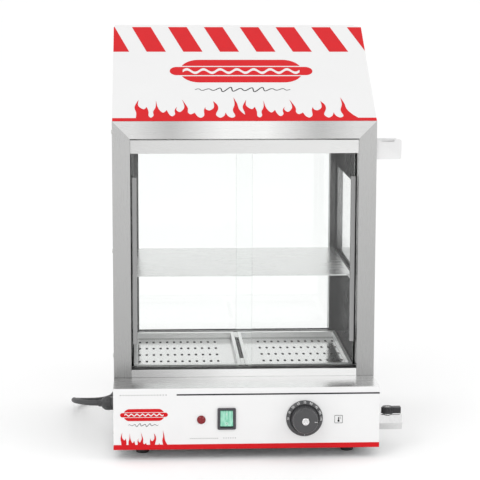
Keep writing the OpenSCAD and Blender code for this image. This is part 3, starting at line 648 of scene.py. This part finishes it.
def make_lead():
    """The whole lead as one curve, from the gland through the coil to the plug."""
    route = smooth(LEAD_ROUTE[:-1] + coil_route() + TAIL_ROUTE, SMOOTH_STEPS)
    curve = bpy.data.curves.new("mains_lead", "CURVE")
    curve.dimensions = "3D"
    spline = curve.splines.new("POLY")
    spline.points.add(len(route) - 1)
    for point, at in zip(spline.points, route):
        point.co = (*(at * MM), 1)
    curve.bevel_depth = CORD_D / 2 * MM
    curve.bevel_resolution = 5
    curve.use_fill_caps = True
    return place_piece(bpy.data.objects.new("mains_lead", curve), "cord_rubber",
                       stands_for=("cord_lead", "cord_coil"))


PLUG_AT = (-20, 222, 5.5)
PLUG_TILT = math.radians(12)
PLUG_HEAD = [
    (9.4, 29.4), (10.4, 31), (12.4, 35), (15.2, 49), (16.8, 55.4), (17.4, 57), (17.8, 58.4),
    (17.8, 61.0), (17.4, 61.7), (16.6, 62), (14.6, 62), (14.2, 61), (0, 61),
]
PLUG_PIN = [(0, 60), (3.1, 60), (3.1, 61.6), (2.4, 62), (2.4, 78.6), (1.5, 79.9), (0, 80)]
PIN_Y = 9.5
SLEEVE_RIBS = 6


def make_plug():
    """Round two-pin plug on a ribbed sleeve, lying on its side."""
    along = Vector((math.cos(PLUG_TILT), 0, math.sin(PLUG_TILT)))
    side = Vector((0, 1, 0))
    home = facing(side.cross(along), side, along, PLUG_AT)
    sleeve = [(4.0, 0), (4.4, 0.6)]
    for k in range(SLEEVE_RIBS):
        z, r = 2 + 3.8 * k, 4.4 + 0.3 * k
        sleeve += [(r + 0.5, z), (r + 0.7, z + 1.6), (r - 0.1, z + 2.0), (r, z + 3.2)]

    def grip(a, r, z):
        on_grip = 34 < z < 56 and abs(math.cos(a)) < 0.8
        return 0.965 if on_grip and math.cos(14 * a) > 0.3 else 1

    plug = Shape(home).revolve([(0, 0)] + sleeve + PLUG_HEAD, 84, grip)
    for y in (-PIN_Y, PIN_Y):
        plug.put(home @ Matrix.Translation((0, y, 0))).revolve(PLUG_PIN, 24)
    return plug.make("mains_plug", "plug_plastic", stands_for=("plug",))


def make_tie():
    """A soft strap around the coil."""
    low, high = corners("cord_tie")
    y0, y1, z0, z1 = low.y + 0.4, high.y - 0.4, low.z + 0.45, high.z - 0.4
    loop = [(y + (y0 + y1) / 2, z + (z0 + z1) / 2)
            for y, z in round_rect(y1 - y0, z1 - z0, 3.6, 8)]
    section = [  # x and distance out of the loop
        (low.x + 0.5, -0.4), (low.x, -0.2), (low.x, 0.2), (low.x + 0.5, 0.4),
        (high.x - 0.5, 0.4), (high.x, 0.2), (high.x, -0.2), (high.x - 0.5, -0.4),
    ]
    rings = []
    for k, (y, z) in enumerate(loop):
        ahead = Vector(loop[(k + 1) % len(loop)]) - Vector(loop[k - 1])
        out = Vector((ahead.y, -ahead.x)).normalized()
        rings.append([(x, y + out.x * d, z + out.y * d) for x, d in section])
    strap = Shape().skin(rings, loop=True)
    return strap.make("coil_tie", "gland_plastic", stands_for=("cord_tie",))


lead = make_lead()
make_plug()
make_tie()


# ---- feet, screws and fittings ----

FRONT_Y, SIDE_X, REAR_Y = -187.5, 185, 187.5
FOOT_X, FOOT_Y = 145, 142.5
FOOT = [
    (5.0, 0.5), (5.4, 0), (8.4, 0), (9.0, 0.6), (9.75, 11.6), (10.1, 12.0), (10.4, 12.4),
    (10.4, 14.6), (10.0, 15), (2.1, 15), (2.1, 10), (4.1, 10), (4.1, 7), (5, 7),
]
CROSS_R = 1.4
CROSS_ARM = 0.24  # half an arm's width, as a share of its reach
SCREW_HEAD = [
    (0, 0), (3, 0), (3, 0.3), (2.8, 0.75), (2.3, 1.05), (1.6, 1.2), (CROSS_R, 1.2),
    (1.1, 0.5), (0, 0.4),
]
SIDE_SCREWS = [(y, z) for z in (131.5, 281.5, 449.5) for y in (-107, 175)] + [
    (-167.5, 35), (167.5, 35),
]
REAR_SCREWS = [(x, 27) for x in (-150, -40, 40, 150)]
SCREW_TURN = 0.7  # radians from one screw to the next
GLAND_Y = -87.5
GLAND_THREAD = [(0, -12), (7.4, -12), (7.9, -11.4), (7.9, 0.2), (0, 0.2)]
LOCK_NUT = [(7.8, -6.2), (10.5, -6.2), (11, -5.7), (11, -1.7), (10.5, -1.2), (7.8, -1.2)]
GLAND_HEXAGON = [(0, 0), (9.8, 0), (10.3, 0.5), (10.3, 5.5), (9.8, 6), (0, 6)]
GLAND_DOME = [
    (0, 5.9), (9.9, 5.9), (10.2, 6.3), (10.2, 9), (10.2, 10.5), (9.95, 12), (9.4, 13.8), (8.3, 15.6),
    (6.9, 17.2), (5.6, 18.1), (5.0, 18.6), (4.9, 19.4), (4.8, 21.5), (4.6, 22.8), (4.3, 23), (0, 23),
]
TAP_Y, TAP_Z = -137.5, 39
THREAD_TURNS = 5
THREAD_PITCH = 1.8
HOLDER_SHEET = 1.2
EAR_HIGH = 4
STRIP_ENDS = ((-92, -52), (97, 134))


def make_feet():
    """Four turned rubber feet with a recess for their screw."""
    feet = Shape()
    for x in (-FOOT_X, FOOT_X):
        for y in (-FOOT_Y, FOOT_Y):
            feet.put(Matrix.Translation((x, y, 0))).revolve(FOOT, 48, loop=True)
    feet.make("rubber_foot_set", "foot_rubber", stands_for=("rubber_feet",))


def cross(a, r, z):
    """A driver's cross at the middle of a screw head."""
    if r > CROSS_R:
        return 1
    off = abs((a + math.pi / 4) % (math.pi / 2) - math.pi / 4)
    return min(1 / math.cos(off), CROSS_ARM / max(math.sin(off), 0.01))


def make_case_screws():
    """Cross-head screws on the sides and the back, each stopped at its own angle."""
    spots = [to_right((SIDE_X, y, z)) for y, z in SIDE_SCREWS]
    spots += [to_left((-SIDE_X, y, z)) for y, z in SIDE_SCREWS]
    spots += [to_back((x, REAR_Y, z)) for x, z in REAR_SCREWS]
    screws = Shape()
    for k, spot in enumerate(spots):
        screws.put(spot @ Matrix.Rotation(SCREW_TURN * k, 4, "Z")).revolve(SCREW_HEAD, 48, cross)
    screws.make("case_screw_heads", "fastener_steel", stands_for=("case_screws",))


def hexed(a, r, z):
    """Turns what is wider than a gland's thread into a hexagon."""
    return math.cos(math.pi / 6) / math.cos(a % (math.pi / 3) - math.pi / 6) if r > 9 else 1


def make_gland():
    """Threaded gland with a lock nut inside, a hexagon outside and a fluted dome."""
    def flutes(a, r, z):
        return 1 - 0.05 * max(0, math.cos(12 * a)) if 6.4 < z < 12.5 else 1

    gland = Shape(to_left((-SIDE_X, GLAND_Y, middle("cable_gland").z)))
    gland.revolve(GLAND_THREAD)
    gland.revolve(LOCK_NUT, form=hexed, loop=True)
    gland.revolve(GLAND_HEXAGON, form=hexed)
    gland.revolve(GLAND_DOME, 96, flutes)
    gland.make("lead_gland", "gland_plastic", stands_for=("cable_gland",))


def make_outlet_thread():
    """The thread inside the drain outlet."""
    mouth = corners("valve_body")[1].x
    thread = Shape(to_right((mouth, TAP_Y, TAP_Z)))
    for k in range(THREAD_TURNS):
        z = -1.4 - THREAD_PITCH * k
        thread.revolve([(7.6, z - 0.7), (7.1, z), (7.6, z + 0.7), (8, z)], loop=True)
    thread.make("outlet_thread", "chrome")


def holder_walls(w, foot, rim, top):
    """Outlines of the pocket's front wall, with ears over its rim, and of its plain back wall."""
    eared = [(0, foot)] + arc((w - 3, foot + 3), 3, -90, 0, 4)
    eared += arc((w - 3, top - 3), 3, 0, 90, 5) + arc((w - 8.5, top - 1.5), 1.5, 90, 180, 3)
    eared += [(w - 10, rim + 0.8), (w - 10.8, rim), (7.8, rim), (7, rim + 0.8)]
    eared += arc((5.5, top - 1.5), 1.5, 0, 90, 3) + [(0, top)]
    level = [(0, foot)] + arc((w - 3, foot + 3), 3, -90, 0, 4)
    level += arc((w - 3, rim - 3), 3, 0, 90, 5) + [(0, rim)]
    return eared, level


def make_holder():
    """Folded pocket for tongs, with ears at both ends of its front wall's top."""
    low, high = corners("tongs_holder")
    rim, top, t = high.z - EAR_HIGH, high.z, HOLDER_SHEET
    eared, level = holder_walls(high.x - low.x, low.z, rim, top)
    pocket = Shape(to_front((low.x, low.y + t, 0))).prism(eared, 0, t, 0.25)
    pocket.put(to_front((low.x, high.y, 0))).prism(level, 0, t, 0.25)
    pocket.put(Matrix())
    inner, outer = low.y + 0.4, high.y - 0.4
    pocket.box((low.x, inner, low.z), (low.x + t, outer, top), 0.2)
    pocket.box((low.x + 0.3, inner, low.z), (high.x - 2.4, outer, low.z + t), 0.2)
    pocket.box((high.x - t, inner, low.z + 2.4), (high.x, outer, rim), 0.2)
    pocket.box((high.x - t, inner, rim - 1), (high.x, inner + 5.6, top - 2.4), 0.2)
    corner = [(high.x - 2.4 + x, low.z + 2.4 + z) for x, z in
              arc((0, 0), 2.4, -90, 0, 6) + arc((0, 0), 1.2, 0, -90, 6)]
    pocket.put(to_front((0, outer, 0))).prism(corner, 0, outer - inner, 0)
    # The pocket's front sheet carries painted shade.
    repaint(steel("holder_steel", (0.96, 0.96, 0.96), 0.4, "z", depth=0.002, painted_light=holder_painted_shade),
            pocket.make("tongs_pocket", "polished_steel", stands_for=("tongs_holder",)))


def make_channel_strip():
    """Strips that close the gap between the trays at its front and rear ends."""
    gap = corners("right_tray_rim")[0].x - 0.3
    top = corners("right_tray_rim")[1].z - 0.2
    strip = Shape()
    for y0, y1 in STRIP_ENDS:
        strip.box((-gap, y0, top - 1.6), (gap, y1, top), 0.3)
    repaint(steel("strip_steel", (0.92, 0.92, 0.915), 0.42, "y"),
            strip.make("channel_strip", "tray_steel"))


make_feet()
make_channel_strip()
make_case_screws()
make_gland()
make_outlet_thread()
make_holder()


# ---- dial, lamp, switch marks and small print ----

DIAL = middle("knob_cap")
DIAL_PLACE = to_front((DIAL.x, FRONT_Y - 0.5, DIAL.z))
KNOB = [
    (0, 15.5), (3.1, 15.5), (3.1, 0), (24.9, 0), (25.5, 0.5), (25.5, 1.0), (25.0, 1.5),
    (21.7, 3.5), (20.6, 3.9), (20.2, 2.9), (19.4, 2.6), (19.0, 3.2), (18.6, 6), (18.3, 12),
    (17.9, 17), (17.4, 18.8), (16.4, 20.0), (15, 20.4), (8, 20.3), (6, 20.4), (5.8, 20.2),
    (5.8, 19.8), (0, 19.8),
]
CAP = [
    (0, 20.3), (1.6, 20.3), (1.8, 20.0), (2.6, 20.0), (2.9, 20.4), (3.6, 20.7), (4.6, 20.7),
    (5, 20.4), (5, 19.8), (0, 19.8),
]
DIGITS = {  # strokes in a box 0.6 wide and 1 high
    "0": [(0.3, 1), (0.06, 0.8), (0, 0.5), (0.06, 0.2), (0.3, 0), (0.54, 0.2), (0.6, 0.5),
          (0.54, 0.8), (0.3, 1)],
    "1": [(0.1, 0.78), (0.35, 1), (0.35, 0)],
    "3": [(0, 0.9), (0.3, 1), (0.58, 0.78), (0.28, 0.54), (0.6, 0.27), (0.3, 0), (0, 0.1)],
    "4": [(0.45, 0), (0.45, 1), (0, 0.3), (0.6, 0.3)],
    "5": [(0.55, 1), (0.08, 1), (0.04, 0.56), (0.36, 0.62), (0.6, 0.33), (0.34, 0), (0, 0.08)],
    "6": [(0.52, 0.96), (0.2, 0.8), (0.02, 0.36), (0.3, 0), (0.58, 0.28), (0.3, 0.56), (0.05, 0.36)],
    "7": [(0, 1), (0.6, 1), (0.24, 0)],
    "8": [(0.3, 0.54), (0.06, 0.78), (0.3, 1), (0.54, 0.78), (0.3, 0.54), (0, 0.26), (0.3, 0),
          (0.6, 0.26), (0.32, 0.52)],
    "9": [(0.08, 0.04), (0.4, 0.2), (0.58, 0.64), (0.3, 1), (0.02, 0.72), (0.3, 0.44), (0.55, 0.64)],
}


SKIRT_R, SKIRT_Z, SKIRT_SLOPE = 25, 1.53, 0.606
DIGIT_HIGH, DIGIT_WIDE, DIGIT_GAP = 2.8, 2.3, 0.65
FIRST_MARK, MARK_STEP, MARKS = 30, 10, 9
MARK_TURN = 22.5  # degrees from one number to the next
POINTER = ((12.5, 20.3), (14.6, 20.3), (16.2, 20))
POINTER_TURN = -3


def make_knob():
    """Fluted knob on a wide skirt, with a chrome cap."""
    def flutes(a, r, z):
        return 1 - 0.03 * abs(math.sin(18 * a)) ** 3 if 4.5 < z < 19.5 else 1

    knob = Shape(DIAL_PLACE).revolve(KNOB, 216, flutes)
    knob.make("dial_knob", "knob_plastic", "dial", ("knob",))
    Shape(DIAL_PLACE).revolve(CAP).make("dial_cap", "chrome", "dial", ("knob_cap",))


def on_skirt(turn, along, r):
    """A point on the knob's sloping skirt, along the rim from an angle in degrees."""
    a = math.radians(turn)
    return (r * math.cos(a) + along * math.sin(a), r * math.sin(a) - along * math.cos(a),
            SKIRT_Z + SKIRT_SLOPE * (SKIRT_R - r))


def make_numerals():
    """30 to 110 over the top of the skirt, a tick at the bottom and a pointer on the grip."""
    marks = Shape(DIAL_PLACE)
    step = DIGIT_WIDE * 0.6 + DIGIT_GAP
    for k in range(MARKS):
        text = str(FIRST_MARK + MARK_STEP * k)
        start = -(len(text) * step - DIGIT_GAP) / 2
        for n, digit in enumerate(text):
            left = start + n * step
            stroke = [on_skirt(180 - MARK_TURN * k, left + DIGIT_WIDE * x, 21.6 + DIGIT_HIGH * y)
                      for x, y in DIGITS[digit]]
            marks.tube(stroke, 0.27, 6)
    marks.tube([on_skirt(-90, 0, 22.2), on_skirt(-90, 0, 24.3)], 0.25, 6)
    a = math.radians(POINTER_TURN)
    marks.tube([(r * math.cos(a), r * math.sin(a), z) for r, z in POINTER], 0.4, 8)
    marks.make("dial_numerals", "dial_print", "dial", ("dial_marks",))


LAMP_BARREL = [(0, -14), (4.9, -14), (4.9, 0), (6, 0), (6, 1.0), (5.6, 1.4), (0, 1.4)]
LAMP_LENS = [(0, 1.2), (5.3, 1.2), (5.2, 1.6), (3.6, 2.8), (1.6, 3.35), (0, 3.4)]
LAMP_FACETS = 12


def make_lamp():
    """A faceted lens on a round barrel."""
    at = middle("indicator_lamp")
    lamp = Shape(to_front((at.x, FRONT_Y, at.z)))
    lamp.revolve(LAMP_BARREL)
    lamp.revolve(LAMP_LENS, LAMP_FACETS)
    lamp.make("signal_lamp", "lamp_red", stands_for=("indicator_lamp",), sharp=20)


ROCKER_FACE_Y = FRONT_Y - 1.1
ROCKER_LEAN = math.radians(14)
MARK_AT = 6.6  # from the rocker's middle


def make_rocker_marks():
    """The bar and the ring of a mains switch, on the two halves of the rocker."""
    at = middle("switch_rocker")
    s, c = math.sin(ROCKER_LEAN), math.cos(ROCKER_LEAN)
    marks = Shape(to_front((at.x, ROCKER_FACE_Y, at.z + MARK_AT)))
    marks.box((-0.35, -1.6, -0.2), (0.35, 1.6, 0.12), 0.1)
    marks.put(facing((1, 0, 0), (0, s, c), (0, -c, s),
                     (at.x, ROCKER_FACE_Y - MARK_AT * s, at.z - MARK_AT * c)))
    marks.revolve([(1.1, -0.2), (1.6, -0.2), (1.6, 0.12), (1.1, 0.12)], 32, loop=True)
    marks.make("rocker_marks", "dial_print", "rocker")


DASH_ROWS = [  # x from and to, z, count, width, height
    (-175, -112, 92.5, 17, 1.2, 1.7),
    (-78, -41, 30.3, 14, 1.4, 1.0),
    (-32, -16, 30.4, 6, 1.4, 1.0),
]


def make_small_print():
    """Rows of plain dashes on the front panel: above its picture, under the lamp and the switch."""
    dashes = Shape(to_front((0, FRONT_Y, 0)))
    for x0, x1, z, count, w, h in DASH_ROWS:
        for k in range(count):
            x = x0 + (x1 - x0) * k / (count - 1)
            dashes.box((x - w / 2, z - h / 2, 0), (x + w / 2, z + h / 2, 0.15), 0.05)
    repaint(ink("grey_print", (0.30, 0.30, 0.30)), dashes.make("small_print", "black_print"))


make_knob()
make_numerals()
make_lamp()
make_rocker_marks()
make_small_print()


# ---- carried-over CAD parts ----

WELD_NODES_WITHIN = 0.00001  # metres
BEVEL_FROM = math.radians(35)


def soften(nodes, width, segments=2):
    """Rounds the sharp edges of CAD nodes, with the width in millimetres."""
    for name in nodes:
        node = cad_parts[name]
        weld = node.modifiers.new("weld", "WELD")
        weld.merge_threshold = WELD_NODES_WITHIN
        bevel = node.modifiers.new("bevel", "BEVEL")
        bevel.width = width * MM
        bevel.segments = segments
        bevel.limit_method = "ANGLE"
        bevel.angle_limit = BEVEL_FROM
        bevel.harden_normals = True


def finish_cad_nodes():
    """Gives every CAD node the finish of its slot."""
    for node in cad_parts.values():
        repaint(FINISH[node.data.materials[0].name.split(".")[0]], node)


def give(material, *names):
    """Puts a material on CAD nodes in place of the finish of their slot."""
    repaint(material, *(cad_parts[name] for name in names))


finish_cad_nodes()
# Some steel finishes below darken by place, as painted reflection and painted shade.
give(steel("frame_steel", (0.86, 0.86, 0.855), 0.28, "mitred", painted_light=frame_painted_reflection), "front_frame")
give(steel("sill_steel", (0.95, 0.95, 0.945), 0.14, "x", depth=0.001, painted_light=sill_painted_reflection), "door_sill")
give(steel("rail_steel", (0.76, 0.76, 0.755), 0.25, "x", painted_light=rail_painted_reflection), "door_head_rail")
give(steel("shelf_steel", (0.78, 0.78, 0.775), 0.25, "x"), "shelf")
give(steel("upright_steel", (0.66, 0.66, 0.655), 0.30, "z"), "side_panels", "base_housing")
give(steel("grip_steel", (0.30, 0.30, 0.30), 0.25, "z"), "left_door_grip", "right_door_grip")
# Rear frame: dark base colour and dim edge tint as painted shade inside the cabinet.
give(steel("rear_steel", (0.40, 0.40, 0.40), 0.20, "z", tint=0.1, painted_light=rear_painted_shade), "rear_frame")
# Near-black steel on the water tank: painted shade inside the base.
give(steel("tank_steel_painted_shade", (0.035, 0.035, 0.035), 0.5, "x", tint=0.1), "water_tank")
give(steel("deck_steel", (0.97, 0.97, 0.965), 0.25, "x", depth=0.001, painted_light=deck_painted_reflection), "top_deck")
give(steel("rim_steel", (0.93, 0.93, 0.925), 0.42, "x", painted_light=rim_painted_shade), "left_tray_rim",
     "right_tray_rim")
give(clear_glass("door_glass", edged=True), "left_door_glass", "right_door_glass")
# Liners: painted reflection in the window reveals and painted shade on the cabinet walls, with no edge
# tint.
give(steel("liner_steel", (0.80, 0.80, 0.80), 0.24, "z", tint=0.0, painted_light=liner_painted_light), "side_liners")
give(enamel("panel_enamel", (0.82, 0.82, 0.82)), "front_panel")
soften(("front_frame", "rear_frame", "base_housing", "front_panel", "door_head_rail", "door_sill",
        "left_door_grip", "right_door_grip", "valve_body", "valve_lever"), 0.5)
soften(("side_panels", "side_liners", "shelf", "shelf_brackets", "sign_panel", "sign_cheeks",
        "roof_panel", "top_deck", "tray_rails", "left_tray_rim", "right_tray_rim", "sill_guide"), 0.3)
soften(("left_door_glass", "right_door_glass", "side_windows", "rear_glass"), 0.4)
soften(("switch_housing", "switch_rocker", "thermostat_body", "terminal_block"), 0.5, 3)


# ---- floor and light ----

FLOOR_HALF = 80
FLOOR_Z = -0.0003
SKY_LOW = 1.18
SKY_HIGH = 1.34
LIGHT_AIM = (0, 0, 0.3)


def make_floor():
    """A wide pale floor, just under the feet."""
    mesh = bpy.data.meshes.new("floor")
    h = FLOOR_HALF
    mesh.from_pydata([(x, y, FLOOR_Z) for x, y in ((-h, -h), (h, -h), (h, h), (-h, h))],
                     [], [(0, 1, 2, 3)])
    f = Finish("floor")
    f.colour(f.noise(3, detail=3), (0.96, 0.96, 0.96), (0.98, 0.98, 0.98))
    f.shader.inputs["Roughness"].default_value = 0.7
    f.shader.inputs["Specular IOR Level"].default_value = 0.2
    mesh.materials.append(f.material)
    floor = bpy.data.objects.new("floor", mesh)
    scene.collection.objects.link(floor)


def make_sky():
    """An even white studio: bright overhead, softer towards the horizon."""
    world = bpy.data.worlds.new("studio")
    world.use_nodes = True
    scene.world = world
    tree = world.node_tree
    tree.nodes.clear()
    spot = tree.nodes.new("ShaderNodeTexCoord")
    split = tree.nodes.new("ShaderNodeSeparateXYZ")
    ramp = tree.nodes.new("ShaderNodeMapRange")
    ramp.interpolation_type = "SMOOTHSTEP"
    back = tree.nodes.new("ShaderNodeBackground")
    out = tree.nodes.new("ShaderNodeOutputWorld")
    for socket, value in zip(ramp.inputs[1:], (0.15, 0.75, SKY_LOW, SKY_HIGH)):
        socket.default_value = value
    tree.links.new(spot.outputs["Generated"], split.inputs[0])
    tree.links.new(split.outputs["Z"], ramp.inputs[0])
    tree.links.new(ramp.outputs[0], back.inputs["Strength"])
    tree.links.new(back.outputs[0], out.inputs[0])


def make_softbox(name, at, aim, size, power):
    """A square soft light that looks at a point."""
    data = bpy.data.lights.new(name, "AREA")
    data.shape = "SQUARE"
    data.size = size
    data.energy = power
    light = bpy.data.objects.new(name, data)
    light.location = at
    light.rotation_euler = (Vector(aim) - Vector(at)).to_track_quat("-Z", "Y").to_euler()
    scene.collection.objects.link(light)


make_floor()
make_sky()
make_softbox("key", (-1.6, -2.2, 2.4), LIGHT_AIM, 1.4, 14)
make_softbox("fill", (2.2, -1.4, 1.6), LIGHT_AIM, 1.2, 8)
